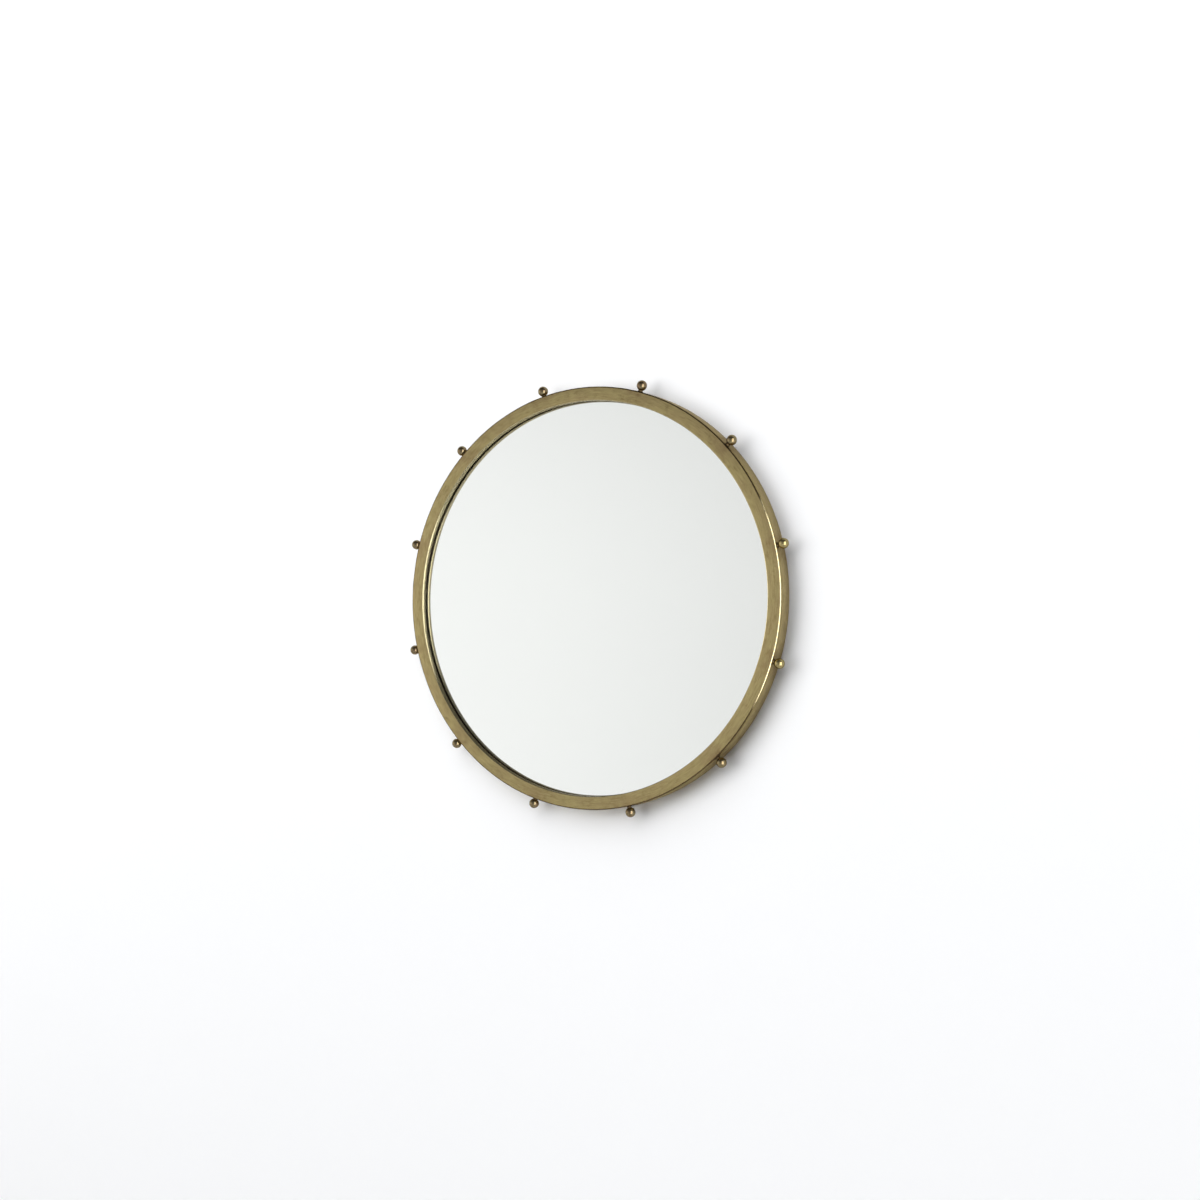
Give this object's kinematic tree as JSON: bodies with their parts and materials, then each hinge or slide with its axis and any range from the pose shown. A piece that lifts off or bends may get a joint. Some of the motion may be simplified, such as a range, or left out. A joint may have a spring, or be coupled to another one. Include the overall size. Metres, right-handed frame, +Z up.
{
  "type": "round wall mirror",
  "caption": "Round wall mirror in a deep aged-brass channel frame with ball beads standing around its outer wall, on a fibreboard back with swinging D-ring hangers.",
  "frame": {"origin": "centre of the round frame, on the plane of the wall that its rubber bumpers touch", "axes": "+Z up, +Y from the mirror into the wall, +X to the right as seen from the front"},
  "size_m": [0.64, 0.0318, 0.64],
  "materials": {
    "aged_brass": "antique brushed brass with a soft patina",
    "screw_steel": "bright zinc plated",
    "zinc_steel": "zinc plated sheet and wire",
    "black_foam": "closed-cell foam tape",
    "clear_glass": "polished float glass",
    "silvering": "silvered, grey paint behind",
    "black_rubber": "moulded rubber",
    "fibreboard": "bare fibreboard"
  },
  "bodies": {
    "mirror": {"backing_board": "fibreboard", "bead_01": "aged_brass", "bead_02": "aged_brass", "bead_03": "aged_brass", "bead_04": "aged_brass", "bead_05": "aged_brass", "bead_06": "aged_brass", "bead_07": "aged_brass", "bead_08": "aged_brass", "bead_09": "aged_brass", "bead_10": "aged_brass", "bead_11": "aged_brass", "bead_12": "aged_brass", "bead_collars": "aged_brass", "bead_screws": "screw_steel", "bumper_screws": "screw_steel", "edge_spacer_lower_left": "black_rubber", "edge_spacer_lower_right": "black_rubber", "edge_spacer_upper_left": "black_rubber", "edge_spacer_upper_right": "black_rubber", "frame_ring": "aged_brass", "glazing_gasket": "black_foam", "hanger_screws_left": "screw_steel", "hanger_screws_right": "screw_steel", "hanger_strap_left": "zinc_steel", "hanger_strap_right": "zinc_steel", "mirror_glass": "clear_glass", "retaining_tab_1": "zinc_steel", "retaining_tab_2": "zinc_steel", "retaining_tab_3": "zinc_steel", "retaining_tab_4": "zinc_steel", "retaining_tab_5": "zinc_steel", "retaining_tab_6": "zinc_steel", "retaining_tab_7": "zinc_steel", "retaining_tab_8": "zinc_steel", "silver_backing": "silvering", "tab_screws": "screw_steel", "wall_bumper_bottom": "black_rubber", "wall_bumper_left": "black_rubber", "wall_bumper_right": "black_rubber", "wall_bumper_top": "black_rubber"},
    "ring_left": {"d_ring_left": "zinc_steel"},
    "ring_right": {"d_ring_right": "zinc_steel"}
  },
  "joints": [
    {"name": "d_ring_left_swing", "type": "hinge", "parent": "mirror", "child": "ring_left", "pos_m": [-0.15, -0.00712, 0.15], "axis": [1, 0, 0], "range_deg": [0, 176]},
    {"name": "d_ring_right_swing", "type": "hinge", "parent": "mirror", "child": "ring_right", "pos_m": [0.15, -0.00712, 0.15], "axis": [1, 0, 0], "range_deg": [0, 176]}
  ]
}
